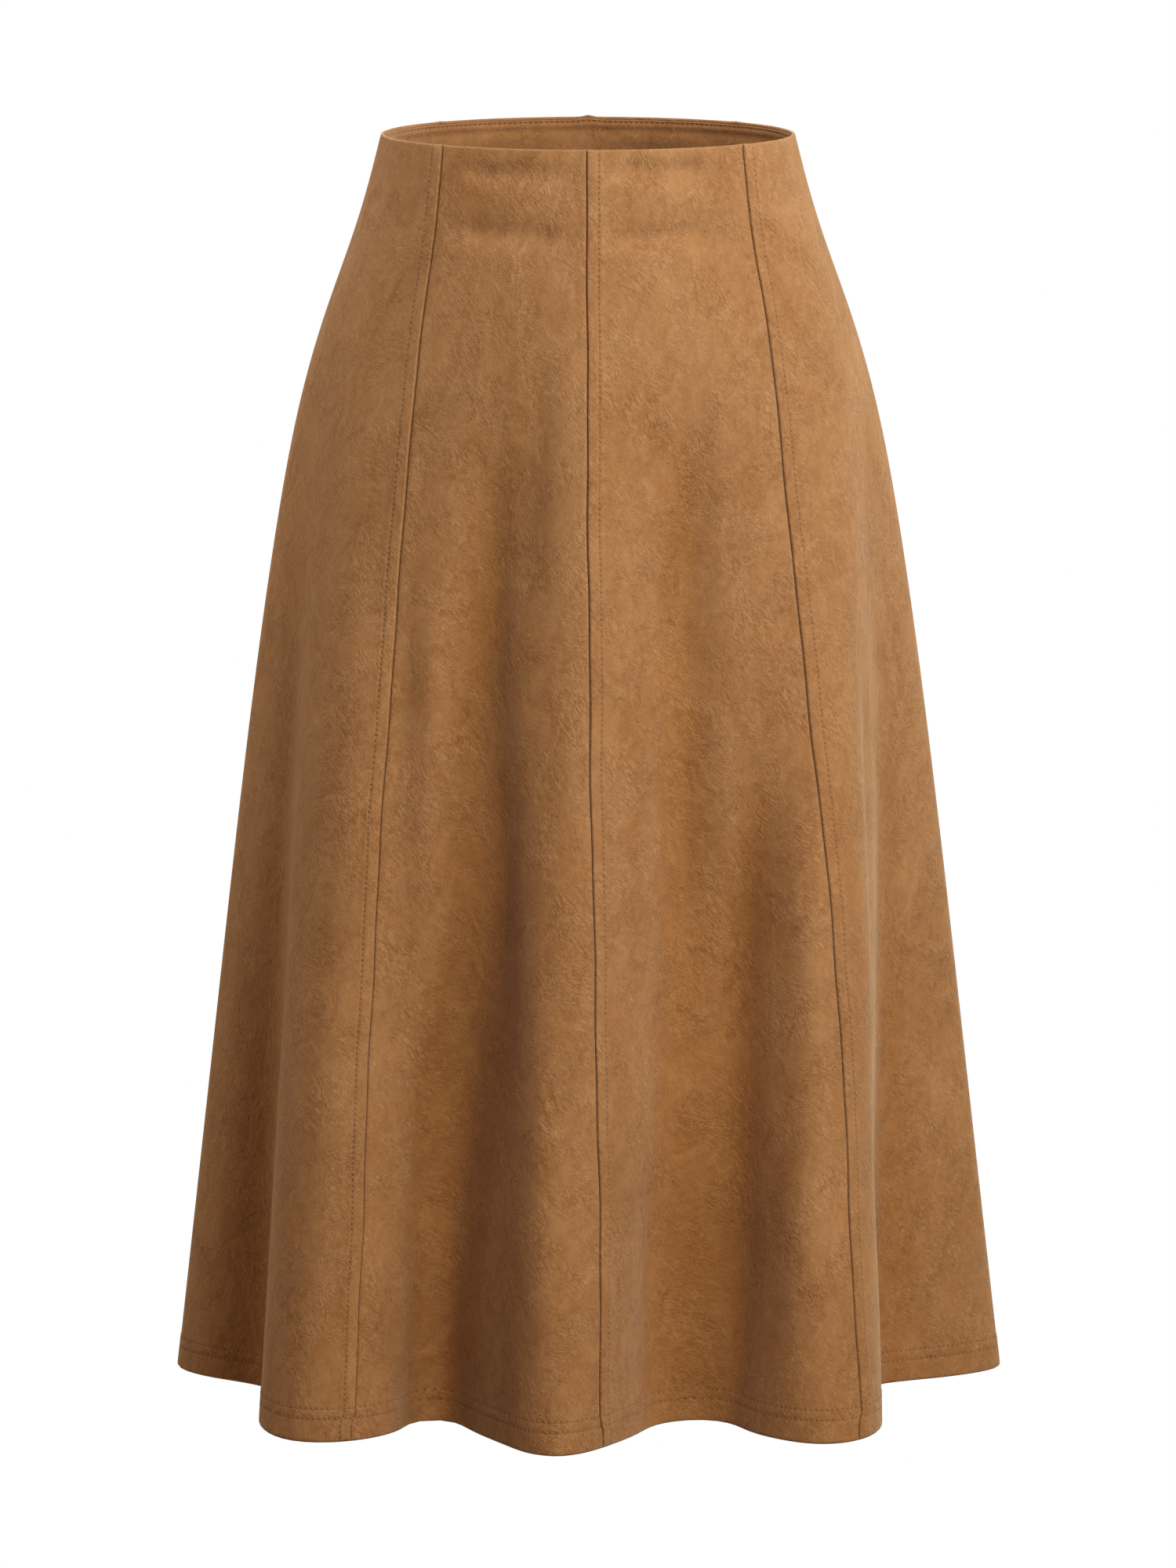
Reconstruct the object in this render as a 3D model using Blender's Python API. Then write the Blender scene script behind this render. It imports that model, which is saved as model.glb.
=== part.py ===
"""A-line midi skirt of eight gores, standing in its worn shape with nobody in it.

Every ring of the cloth is an ellipse at the waist and a folded curve at the hem. Between them the folds
grow from the level where each begins. Eight gores are cut from that surface along their seams, with their
hem turned up inside, and two facings lie inside the top edge.

Metres, +Z up, -Y is the front, and left and right are as seen from the front. The origin is the centre
of the waist opening.
"""

import bmesh
import bpy
import numpy as np

# ---------------------------------------------------------------- driving sizes
LENGTH = 0.750           # waist to hem, straight down at the sides
WAIST_DIP = 0.005        # the top edge is this much lower in front and higher behind
HALF_WIDTH_AT_HEM = 0.250
HALF_DEPTH_AT_HEM = 0.200
FOLD_GROWTH = 1.1        # power of the level: over 1, a fold opens slowly and then faster

CLOTH = 0.0015           # one layer of suede cloth
FACING_CLOTH = 0.0012
SEAM_GAP = 0.0003        # between pieces that are sewn together
FACING_DEPTH = 0.045
HEM_TURN_UP = 0.020      # the hem allowance, folded up inside
HEM_STEP = 0.0012        # height over which the wall thickens to two layers

GORE_COLUMNS = 12        # faces across a gore
ROWS_TO_HIP = 5          # rows of faces from the facing's foot down to the hip
ROWS_TO_HEM = 9          # and from the hip to the top of the hem allowance
HIP_LEVEL = 0.28         # level, as a share of the length, where the hips have flared out

# Depth below the waist, and the half width and half depth of the ring there.
SECTIONS = (
    # depth, half_width, half_depth
    (0.000, 0.1218, 0.088),
    (0.040, 0.1325, 0.096),
    (0.120, 0.1600, 0.112),
    (0.230, 0.1848, 0.128),
    (0.350, 0.2023, 0.145),
    (0.550, 0.2265, 0.173),
    (0.750, 0.2500, 0.200),
)

# Each fold of the hem: its angle round the waist (180 left, 270 front, 360 right, 450 back), the place
# of its top or foot on the hem, and the level where it begins.
FOLDS = (
    # name, angle, hem_x, hem_y, start_level
    ("left side crest", 180, -0.250, 0.022, 0.08),
    ("left side crest, front", 189, -0.228, -0.010, 0.08),
    ("left side valley", 201, -0.188, -0.050, 0.08),
    ("left front crest, outer", 212, -0.1935, -0.122, 0.10),
    ("left front crest", 220, -0.174, -0.164, 0.10),
    ("left front crest, inner", 230, -0.127, -0.160, 0.10),
    ("left front valley", 245, -0.083, -0.131, 0.10),
    ("centre crest, left", 254, -0.050, -0.173, 0.10),
    ("centre crest", 263, -0.020, -0.201, 0.10),
    ("centre crest, right", 274, 0.012, -0.177, 0.10),
    ("right front valley", 294, 0.065, -0.128, 0.12),
    ("right front crest, inner", 306, 0.100, -0.153, 0.12),
    ("right front crest", 316, 0.138, -0.173, 0.12),
    ("right front crest, outer", 327, 0.172, -0.134, 0.15),
    ("right side valley", 340, 0.167, -0.043, 0.12),
    ("right side crest, front", 351, 0.210, -0.012, 0.08),
    ("right side crest", 360, 0.250, 0.018, 0.08),
    ("right side crest, back", 370, 0.229, 0.055, 0.08),
    ("right back valley", 386, 0.188, 0.092, 0.12),
    ("right back crest", 406, 0.163, 0.158, 0.10),
    ("right back hollow", 427, 0.086, 0.153, 0.16),
    ("centre back crest", 447, 0.020, 0.187, 0.14),
    ("left back hollow", 469, -0.062, 0.141, 0.12),
    ("left back crest", 495, -0.148, 0.170, 0.10),
    ("left back valley", 517, -0.188, 0.086, 0.10),
    ("left side crest, back", 530, -0.230, 0.056, 0.08),
)

# The angle of each seam at these levels, in the order that the seams go round from the left side.
SEAM_LEVELS = (0.0, 0.1, 0.22, 0.5, 1.0)
SEAMS = (
    # name, then one angle for each level
    ("left side", 176.0, 176.0, 176.0, 176.5, 177.0),
    ("left princess", 226.0, 230.2, 232.2, 230.6, 228.0),
    ("centre front", 269.6, 269.8, 269.8, 270.0, 271.8),
    ("right princess", 317.6, 313.5, 311.6, 315.4, 321.6),
    ("right side", 364.0, 364.0, 364.0, 363.5, 363.0),
    ("right back princess", 403.0, 407.0, 409.0, 407.0, 403.0),
    ("centre back", 450.0, 450.0, 450.0, 449.5, 448.5),
    ("left back princess", 497.0, 493.0, 491.0, 493.0, 497.0),
    ("left side, one turn on", 536.0, 536.0, 536.0, 536.5, 537.0),
)

# Each gore runs from one seam to the next.
GORES = (
    "gore_front_side_left",
    "gore_front_center_left",
    "gore_front_center_right",
    "gore_front_side_right",
    "gore_back_side_right",
    "gore_back_center_right",
    "gore_back_center_left",
    "gore_back_side_left",
)
GORES_PER_FACING = 4     # the front facing backs the first four gores, the back one the rest
FACINGS = ("facing_front", "facing_back")

SUEDE_TAN = (0.355, 0.165, 0.064, 1.0)
FACING_TAN = (0.240, 0.105, 0.045, 1.0)
SUEDE_ROUGHNESS = 0.92

TURN = 360.0
SLOPE_STEP = 0.05        # degrees and thousandths of the length, for the slopes of the surface


# ---------------------------------------------------------------- curves through the tables
def column(table, index):
    return np.array([row[index] for row in table], dtype=float)


def bend_of(knots, values):
    """Second derivatives of the natural cubic spline through the values."""
    steps = np.diff(knots)
    slopes = np.diff(values) / steps
    inner = 2.0 * (steps[:-1] + steps[1:])
    matrix = np.diag(np.concatenate([[1.0], inner, [1.0]]))
    matrix += np.diag(np.concatenate([steps[:-1], [0.0]]), -1)
    matrix += np.diag(np.concatenate([[0.0], steps[1:]]), 1)
    right = np.concatenate([[0.0], 6.0 * np.diff(slopes), [0.0]])
    return np.linalg.solve(matrix, right)


def spline(knots, values, at):
    """The natural cubic spline through (knots, values), read at the given places."""
    bends = bend_of(knots, values)
    low = np.clip(np.searchsorted(knots, at, side="right") - 1, 0, len(knots) - 2)
    step = knots[low + 1] - knots[low]
    before = (knots[low + 1] - at) / step
    after = (at - knots[low]) / step
    bending = (before**3 - before) * bends[low] + (after**3 - after) * bends[low + 1]
    return before * values[low] + after * values[low + 1] + bending * step * step / 6.0


def round_spline(knots, values, angle):
    """A closed curve: the knots go round three times, so the joins of the outer turns don't matter."""
    three_turns = np.concatenate([knots - TURN, knots, knots + TURN])
    return spline(three_turns, np.tile(values, 3), knots[0] + (angle - knots[0]) % TURN)


# ---------------------------------------------------------------- the cloth's outer face
def surface(angle, level):
    """Points of the outer face: angle in degrees round the waist, level 0 at the waist to 1 at the hem."""
    depth = level * LENGTH
    half_width = spline(column(SECTIONS, 0), column(SECTIONS, 1), depth)
    half_depth = spline(column(SECTIONS, 0), column(SECTIONS, 2), depth)
    across, along = np.cos(np.radians(angle)), np.sin(np.radians(angle))

    places = column(FOLDS, 1)
    hem_x = round_spline(places, column(FOLDS, 2), angle) / HALF_WIDTH_AT_HEM
    hem_y = round_spline(places, column(FOLDS, 3), angle) / HALF_DEPTH_AT_HEM
    start = round_spline(places, column(FOLDS, 4), angle)
    folded = np.clip((level - start) / (1.0 - start), 0.0, 1.0) ** FOLD_GROWTH

    x = half_width * (across + folded * (hem_x - across))
    y = half_depth * (along + folded * (hem_y - along))
    z = WAIST_DIP * along * (1.0 - level) - depth
    return np.stack([x, y, z], axis=-1)


def outward(angle, level):
    """Unit normals of the outer face."""
    step = SLOPE_STEP / 1000.0
    inside = np.clip(level, step, 1.0 - step)
    round_about = surface(angle + SLOPE_STEP, inside) - surface(angle - SLOPE_STEP, inside)
    downward = surface(angle, inside + step) - surface(angle, inside - step)
    normal = np.cross(downward, round_about)
    return normal / np.linalg.norm(normal, axis=-1, keepdims=True)


def seam_angle(index, level):
    return spline(np.array(SEAM_LEVELS), np.array(SEAMS[index][1:]), level)


def row_levels():
    """Levels of the rows of points: the facing, the hips, the skirt, then the step and the hem."""
    facing_foot = FACING_DEPTH / LENGTH
    step_top = 1.0 - (HEM_TURN_UP + HEM_STEP) / LENGTH
    step_foot = 1.0 - HEM_TURN_UP / LENGTH
    facing = np.linspace(0.0, facing_foot, 3)
    hips = np.linspace(facing_foot, HIP_LEVEL, ROWS_TO_HIP + 1)[1:]
    skirt = np.linspace(HIP_LEVEL, step_top, ROWS_TO_HEM + 1)[1:]
    return np.concatenate([facing, hips, skirt, [step_foot, 1.0]])


# ---------------------------------------------------------------- walls of cloth
def wall(name, columns, levels, angle_at, outer_depth, inner_depth, gap):
    """A closed wall of cloth. A flat grid is extruded once, then each point is carried to the surface.

    angle_at(share, level) gives the angle at a share of the piece's width. outer_depth and
    inner_depth(level) are how far inside the surface the two faces lie. gap is taken off both ends.
    """
    mesh = bpy.data.meshes.new(name)
    sheet = bmesh.new()
    rows = len(levels) - 1
    bmesh.ops.create_grid(sheet, x_segments=columns, y_segments=rows, size=0.5)
    copy = bmesh.ops.extrude_face_region(sheet, geom=sheet.faces[:])
    for item in copy["geom"]:
        if isinstance(item, bmesh.types.BMVert):
            item.co.z = 1.0

    flat = np.array([vert.co[:] for vert in sheet.verts])
    share = flat[:, 0] + 0.5
    row = np.rint((0.5 - flat[:, 1]) * rows).astype(int)
    level = levels[row]
    depth = np.where(flat[:, 2] > 0.5, inner_depth(level), outer_depth)

    angle = angle_at(share, level)
    one_degree = np.linalg.norm(surface(angle + 0.5, level) - surface(angle - 0.5, level), axis=-1)
    end = np.where(share < 0.5 / columns, 1.0, 0.0) - np.where(share > 1.0 - 0.5 / columns, 1.0, 0.0)
    angle = angle + end * (gap / 2.0) / one_degree

    points = surface(angle, level) - outward(angle, level) * depth[:, None]
    for vert, place in zip(sheet.verts, points):
        vert.co = place
    bmesh.ops.recalc_face_normals(sheet, faces=sheet.faces[:])
    sheet.to_mesh(mesh)
    sheet.free()
    mesh.shade_smooth()
    mesh.set_sharp_from_angle(angle=np.radians(50.0))
    return bpy.data.objects.new(name, mesh)


def gore(index):
    """One gore from seam to seam, two layers thick in its hem allowance."""

    def angle_at(share, level):
        left, right = seam_angle(index, level), seam_angle(index + 1, level)
        return left + share * (right - left)

    def inner_depth(level):
        in_hem = level > 1.0 - (HEM_TURN_UP + HEM_STEP / 2.0) / LENGTH
        return np.where(in_hem, 2.0 * CLOTH, CLOTH)

    return wall(GORES[index], GORE_COLUMNS, row_levels(), angle_at, 0.0, inner_depth, SEAM_GAP)


def facing(index):
    """A band inside the top edge, behind four gores and just clear of them."""
    first = index * GORES_PER_FACING
    last = first + GORES_PER_FACING
    under_gore = CLOTH + SEAM_GAP

    def angle_at(share, level):
        seams = np.stack([seam_angle(number, level) for number in range(first, last + 1)])
        along = np.clip(share * GORES_PER_FACING, 0.0, GORES_PER_FACING)
        number = np.minimum(along.astype(int), GORES_PER_FACING - 1)
        items = np.arange(len(share))
        left, right = seams[number, items], seams[number + 1, items]
        return left + (along - number) * (right - left)

    def inner_depth(level):
        return np.full_like(level, under_gore + FACING_CLOTH)

    levels = row_levels()
    levels = levels[levels <= FACING_DEPTH / LENGTH + 1e-9]
    columns = GORE_COLUMNS * GORES_PER_FACING
    return wall(FACINGS[index], columns, levels, angle_at, under_gore, inner_depth, SEAM_GAP)


def dye(thing, colour):
    """Each piece's own cloth."""
    material = bpy.data.materials.new(thing.name + "_suede")
    material.use_nodes = True
    shader = material.node_tree.nodes["Principled BSDF"]
    shader.inputs["Base Color"].default_value = colour
    shader.inputs["Roughness"].default_value = SUEDE_ROUGHNESS
    shader.inputs["Metallic"].default_value = 0.0
    material.diffuse_color = colour
    thing.data.materials.append(material)


def build():
    for old in list(bpy.data.objects):
        bpy.data.objects.remove(old, do_unlink=True)
    collection = bpy.data.collections.new("a_line_skirt")
    bpy.context.scene.collection.children.link(collection)
    waist = bpy.data.objects.new("waist_center", None)
    collection.objects.link(waist)

    pieces = [(gore(index), SUEDE_TAN) for index in range(len(GORES))]
    pieces += [(facing(index), FACING_TAN) for index in range(len(FACINGS))]
    for piece, colour in pieces:
        dye(piece, colour)
        collection.objects.link(piece)
        piece.parent = waist


build()
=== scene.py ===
"""Looks of the a-line skirt: faux-suede gores with their seams, topstitching, hem and waist facing.

The cloth lies on the same surface as the frame's solids: an ellipse at the waist and a folded curve at the
hem, with folds that grow between them. Soft creases are laid on that surface, and each seam has its groove,
the ridge of its pressed allowances and its row of stitches. Metres, +Z up, -Y is the front.
"""

import math

import bpy
import numpy as np
from mathutils import Euler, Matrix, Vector


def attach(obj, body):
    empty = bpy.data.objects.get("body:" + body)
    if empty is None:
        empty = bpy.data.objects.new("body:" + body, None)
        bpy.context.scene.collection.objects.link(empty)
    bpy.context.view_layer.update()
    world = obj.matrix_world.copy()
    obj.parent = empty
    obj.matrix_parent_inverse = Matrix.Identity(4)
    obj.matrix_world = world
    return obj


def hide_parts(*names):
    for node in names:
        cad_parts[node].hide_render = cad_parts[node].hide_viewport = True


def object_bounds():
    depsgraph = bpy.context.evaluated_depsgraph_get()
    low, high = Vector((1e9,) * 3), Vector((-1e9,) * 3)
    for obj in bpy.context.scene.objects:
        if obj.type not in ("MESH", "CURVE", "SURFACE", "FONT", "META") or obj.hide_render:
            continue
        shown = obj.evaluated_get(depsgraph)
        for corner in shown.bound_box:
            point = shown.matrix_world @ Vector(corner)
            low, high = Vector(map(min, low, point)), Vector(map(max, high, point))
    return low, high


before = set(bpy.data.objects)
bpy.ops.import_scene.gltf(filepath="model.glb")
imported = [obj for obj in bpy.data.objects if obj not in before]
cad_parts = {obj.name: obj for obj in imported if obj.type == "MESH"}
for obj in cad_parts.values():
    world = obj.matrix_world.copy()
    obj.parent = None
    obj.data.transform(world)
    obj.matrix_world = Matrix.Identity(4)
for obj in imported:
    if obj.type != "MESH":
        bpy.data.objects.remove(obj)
cad_low, cad_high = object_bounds()

MM = 0.001
TURN = 360.0

# ---------------------------------------------------------------- sizes, as the frame was built
HEM_Z = -0.750
LENGTH = -HEM_Z
WAIST_DIP = cad_high.z          # the top edge is this much higher behind and lower in front
HALF_WIDTH_AT_HEM = 0.250
HALF_DEPTH_AT_HEM = 0.200
FOLD_GROWTH = 1.1
CLOTH = 1.5 * MM
FACING_CLOTH = 1.2 * MM
SEAM_GAP = 0.3 * MM             # between solids; the cloth's edges meet in the seams
FACING_DEPTH = 45 * MM
HEM_TURN_UP = 20 * MM

# Depth below the waist, and the half width and half depth of the ring there.
SECTIONS = (
    # depth, half_width, half_depth
    (0.000, 0.1218, 0.088),
    (0.040, 0.1325, 0.096),
    (0.120, 0.1600, 0.112),
    (0.230, 0.1848, 0.128),
    (0.350, 0.2023, 0.145),
    (0.550, 0.2265, 0.173),
    (0.750, 0.2500, 0.200),
)

# Folds of the hem: angle round the waist (180 left, 270 front, 360 right, 450 back), place, first level.
FOLDS = (
    # name, angle, hem_x, hem_y, start_level
    ("left side crest", 180, -0.250, 0.022, 0.08),
    ("left side crest, front", 189, -0.228, -0.010, 0.08),
    ("left side valley", 201, -0.188, -0.050, 0.08),
    ("left front crest, outer", 212, -0.1935, -0.122, 0.10),
    ("left front crest", 220, -0.174, -0.164, 0.10),
    ("left front crest, inner", 230, -0.127, -0.160, 0.10),
    ("left front valley", 245, -0.083, -0.131, 0.10),
    ("centre crest, left", 254, -0.050, -0.173, 0.10),
    ("centre crest", 263, -0.020, -0.201, 0.10),
    ("centre crest, right", 274, 0.012, -0.177, 0.10),
    ("right front valley", 294, 0.065, -0.128, 0.12),
    ("right front crest, inner", 306, 0.100, -0.153, 0.12),
    ("right front crest", 316, 0.138, -0.173, 0.12),
    ("right front crest, outer", 327, 0.172, -0.134, 0.15),
    ("right side valley", 340, 0.167, -0.043, 0.12),
    ("right side crest, front", 351, 0.210, -0.012, 0.08),
    ("right side crest", 360, 0.250, 0.018, 0.08),
    ("right side crest, back", 370, 0.229, 0.055, 0.08),
    ("right back valley", 386, 0.188, 0.092, 0.12),
    ("right back crest", 406, 0.163, 0.158, 0.10),
    ("right back hollow", 427, 0.086, 0.153, 0.16),
    ("centre back crest", 447, 0.020, 0.187, 0.14),
    ("left back hollow", 469, -0.062, 0.141, 0.12),
    ("left back crest", 495, -0.148, 0.170, 0.10),
    ("left back valley", 517, -0.188, 0.086, 0.10),
    ("left side crest, back", 530, -0.230, 0.056, 0.08),
)

# The angle of each seam at these levels.
SEAM_LEVELS = (0.0, 0.1, 0.22, 0.5, 1.0)
SEAMS = (
    # name, then one angle for each level
    ("left side", 176.0, 176.0, 176.0, 176.5, 177.0),
    ("left princess", 226.0, 230.2, 232.2, 230.6, 228.0),
    ("centre front", 269.6, 269.8, 269.8, 270.0, 271.8),
    ("right princess", 317.6, 313.5, 311.6, 315.4, 321.6),
    ("right side", 364.0, 364.0, 364.0, 363.5, 363.0),
    ("right back princess", 403.0, 407.0, 409.0, 407.0, 403.0),
    ("centre back", 450.0, 450.0, 450.0, 449.5, 448.5),
    ("left back princess", 497.0, 493.0, 491.0, 493.0, 497.0),
    ("left side, one turn on", 536.0, 536.0, 536.0, 536.5, 537.0),
)
# Which side of each seam is topstitched: -1 towards smaller angles, 1 towards larger ones, 0 neither.
TOPSTITCHED = (0, -1, 1, 1, 0, -1, 1, 1, 0)

GORES = (
    "gore_front_side_left",
    "gore_front_center_left",
    "gore_front_center_right",
    "gore_front_side_right",
    "gore_back_side_right",
    "gore_back_center_right",
    "gore_back_center_left",
    "gore_back_side_left",
)
FACINGS = ("facing_front", "facing_back")
GORES_PER_FACING = 4

# ---------------------------------------------------------------- sewing, in millimetres
STITCH_LINE = 6.9          # from the seam's groove
STITCH_PITCH = 3.2
STITCH_LENGTH = 2.3
STITCH_WIDTH = 0.55
HEM_ROWS = (13.5, 19.5)    # above the hem's edge
UNDERSTITCH = 2.9          # below the top edge, on the facing
RIDGE_HEIGHT = 0.75        # the pressed allowances lift the cloth this much
RIDGE_WIDTH = 9.0
GROOVE_DEPTH = 1.0
GROOVE_ROLL = 1.3          # width over which the cloth rolls into the groove
STITCH_DENT = 0.48
STITCH_DENT_WIDTH = 0.75
HEM_DENT = 0.24
HEM_STAND = 0.35           # the doubled hem stands out this much
SEAM_STAND_WIDTH = 3.6     # the top edge stands higher over this width each way from a seam
ALLOWANCE_EDGE = (10.2, 8.6)    # on the inside, the allowance's cut edge lies between these

# Soft creases: from one place to the next, in degrees round and millimetres down, height outwards and
# half width in millimetres. Troughs are below zero.
CREASES = (
    # start_angle, start_down, end_angle, end_down, height, half_width
    (230, 14, 270, 13, -3.20, 5.6),
    (271, 13, 311, 15, -3.80, 5.6),
    (228, 49, 270, 51, -3.60, 6.8),
    (269, 51, 312, 48, -3.90, 6.8),
    (238, 30, 266, 31, 0.90, 8.0),
    (278, 32, 306, 28, 1.70, 8.5),
    (189, 30, 222, 52, -0.90, 7.0),
    (318, 40, 352, 30, -0.90, 7.0),
    (253, 80, 248, 700, -11.40, 19.0),
    (247, 420, 239, 900, -10.40, 19.0),
    (262, 360, 259, 860, 4.00, 14.0),
    (260, 80, 259, 300, -3.40, 10.0),
    (269, 60, 270, 820, 6.00, 20.0),
    (290, 60, 287, 900, -13.40, 19.0),
    (318, 160, 320, 640, 4.00, 20.0),
    (303, 280, 294, 940, -13.00, 21.0),
    (313, 320, 313, 760, 5.40, 14.0),
    (224, 140, 223, 720, 3.00, 16.0),
    (239, 220, 241, 540, 4.20, 12.0),
    (222, 150, 216, 420, 1.00, 13.0),
    (331, 250, 330, 720, -3.60, 10.0),
    (238, 420, 236, 730, 0.90, 10.0),
    (267, 520, 266, 742, -0.70, 7.0),
    (318, 560, 316, 742, -0.60, 7.0),
    (208, 330, 206, 640, -1.00, 9.0),
    (196, 250, 192, 520, 0.90, 12.0),
    (345, 260, 347, 560, 0.80, 12.0),
    (355, 420, 354, 700, -0.90, 9.0),
    (184, 400, 186, 700, -0.90, 9.0),
    (412, 46, 446, 48, -1.50, 6.5),
    (454, 48, 492, 45, -1.40, 6.0),
    (412, 12, 447, 10, -1.20, 5.5),
    (453, 10, 490, 13, -1.20, 5.5),
    (418, 30, 444, 31, 1.00, 8.0),
    (456, 32, 488, 29, 1.20, 8.0),
    (424, 90, 428, 860, -9.00, 19.0),
    (471, 110, 468, 900, -8.20, 18.0),
    (446, 120, 449, 760, 4.60, 20.0),
    (409, 160, 406, 780, 4.20, 18.0),
    (487, 200, 491, 820, 3.80, 18.0),
    (398, 200, 396, 450, 1.00, 12.0),
    (500, 180, 503, 430, 1.00, 12.0),
    (440, 400, 441, 690, 0.90, 10.0),
    (460, 450, 461, 720, -0.90, 9.0),
    (380, 320, 377, 600, -1.00, 10.0),
    (522, 300, 525, 620, -1.00, 10.0),
)

CREASE_FADE = 0.32         # share of a crease's length over which each of its ends fades out
CREASE_WANDER = 0.14       # how far it wanders aside, as a share of its half width
CREASE_SWELL = 0.12        # how much its height varies along it
WANDER_WAVE = 0.061        # metres along it for a radian of each
SWELL_WAVE = 0.037
RING_SHARE = 0.85          # a degree's mean length on a ring, to that at the ring's half width

# How dark each seam's painted groove shade is at the hem, as a share of its darkness at the waist.
FOOT_SHADOW = (0.6, 0.3, 1.0, 0.8, 0.6, 0.7, 1.0, 0.7, 0.6)

# How much higher the top edge stands over each seam, in millimetres.
SEAM_STAND = (0.3, 0.3, 0.3, 0.3, 0.3, 0.3, 1.0, 0.3, 0.3)
CENTRE_BACK = 6
CENTRE_BACK_ANGLE = 450.0

# ---------------------------------------------------------------- rows and columns of the meshes
CAP_RADIUS = 1.1 * MM      # the cloth turns over at the waist in a round edge
FACING_TOP = 1.45 * MM     # the facing's top edge, below the turned edge
WAIST_RADIUS = 0.108       # about the waist ring's mean
FACING_RADIUS = 0.1
BACK_RADIUS = 88.0         # millimetres from the waist's centre to its back
SEAM_COLUMNS = (0.0, 0.2, 0.45, 0.75, 1.1, 1.5, 2.2, 3.2, 4.4, 5.4, 6.0, 6.4, 6.9, 7.4, 7.8, 8.6, 10.2, 12.5)
GORE_MIDDLE_COLUMNS = 30
ARC_SAMPLES = 400          # along a ring between two seams, for its arc lengths
SEAM_SAMPLES = 376         # along a row of stitches beside a seam
HEM_SAMPLES = 300
FACING_SAMPLES = 700
FLAT_ROWS = 151            # where a piece's flat size is measured
FLAT_COLUMNS = 200
FACING_COLUMNS = 141
ROW_STEP = 3.4 * MM
ROUND = np.radians(np.array([0.0, 25.0, 50.0, 72.0, 90.0]))     # the steps of a turned edge
HEM_LINES = (
    *(21.6, 20.5, 20.0, 19.5, 19.0, 18.2, 17.0, 15.6, 14.6),
    *(14.0, 13.5, 13.0, 12.4, 11.0, 8.0, 5.0, 3.0),
)
FACING_LINES = (
    *(2.4, 2.65, 2.9, 3.2, 3.6, 4.2, 5.0, 6.0, 7.2, 8.4),
    *(9.8, 12.0, 15.0, 19.0, 24.0, 29.0, 34.0, 39.0, 43.0),
)

HOLLOW_REACH = 8.0         # degrees each way that a place is compared with

# Shares of the map for baking: the two faces of a wall (start, width), and the strips of its rims.
BAKE_FACES = ((0.005, 0.56), (0.575, 0.36))
BAKE_RIMS = 0.942
BAKE_RIM = 0.007

# Metres on the suede's pattern from one gore's place to the next, and to the first facing's.
GORE_CUT = 0.7
FACING_CUT = 9.0

SUEDE = "suede_face"
SUEDE_INSIDE = "suede_facing"
THREAD = "thread"
PALE = (0.425, 0.2165, 0.087, 1.0)
DEEP = (0.22, 0.085, 0.022, 1.0)
ORANGE = (0.31, 0.120, 0.028, 1.0)
# the colour of the painted shade in the seam grooves and needle holes
SHADE_MARK = (DEEP[0] * 0.22, DEEP[1] * 0.16, DEEP[2] * 0.12, 1.0)     # the dark of grooves and needle holes
# painted shade: darker, warmer cloth in the fold hollows and lower down
PAINTED_SHADE_TINT = (0.90, 0.77, 0.52, 1.0)                              # multiplies the cloth in the hollows
SHEEN_TINT = (1.0, 0.81, 0.55, 1.0)
THREAD_TAN = (0.27, 0.125, 0.045, 1.0)
SHEEN = 0.30
# How much each layer of the suede changes its tone.
CLOUD_SHARE = 0.55
PATCH_SHARE = 0.58
BLOTCH_SHARE = 0.48
SPECK_SHARE = 0.48
NAP_SHARE = 0.46
# How far each place goes towards the colour mixed in there; in the fold hollows, grooves and needle holes
# that is painted shade.
WARM_SHARE = 0.26
PALER_EDGE_SHARE = 0.25
PAINTED_SHADE_SHARE = 0.80
INSIDE_SHARE = 0.35
GROOVE_SHADE_SHARE = 0.48
NEEDLE_SHADE_SHARE = 0.62
# How much each layer raises the suede's surface.
NAP_RISE = 0.9
SPECK_RISE = 0.25
BLOTCH_RISE = 0.45
MARK_RISE = -1.2
NAP_BUMP = 0.22            # millimetres
PATCH_BUMP = 1.3
THREAD_CELLS = 2600.0      # a metre

# ---------------------------------------------------------------- camera, lights and floor
CAMERA_AWAY = 4.0
CAMERA_Z = 0.22
CAMERA_TILT = 8.648        # degrees downwards
LENS = 155.32              # millimetres, on a sensor SENSOR wide
SENSOR = 36.0
CAMERA_FAR = 100.0
LIGHTS = (
    # name, turn and rise in degrees, metres away, height aimed at, size, power, colour
    ("key", 22.0, 34.0, 2.4, -0.34, (0.8, 0.8), 47.0, (1.0, 1.045, 1.08)),
    ("key_side", 60.0, 35.0, 2.4, -0.30, (0.8, 0.8), 26.0, (1.0, 1.045, 1.10)),
    ("right_rim", 130.0, 30.0, 1.35, -0.15, (0.45, 0.8), 10.5, (1.0, 0.96, 0.75)),
    ("left_rim", -109.0, 30.0, 1.35, -0.15, (0.45, 0.8), 11.6, (1.0, 0.93, 0.76)),
    ("back_fill", -158.0, 30.0, 2.6, -0.30, (0.9, 0.8), 24.0, (1.0, 0.97, 0.92)),
)
STUDIO_GLOW = (0.150, 0.064, 0.022, 1.0)
BACKDROP = (1.0, 1.0, 1.0, 1.0)
FLOOR_HALF = 14.0
FLOOR_DROP = 0.38          # below the hem
FLOOR_GREY = (0.30, 0.30, 0.30, 1.0)


# ---------------------------------------------------------------- curves through the tables
def column(table, index):
    return np.array([row[index] for row in table], dtype=float)


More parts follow.
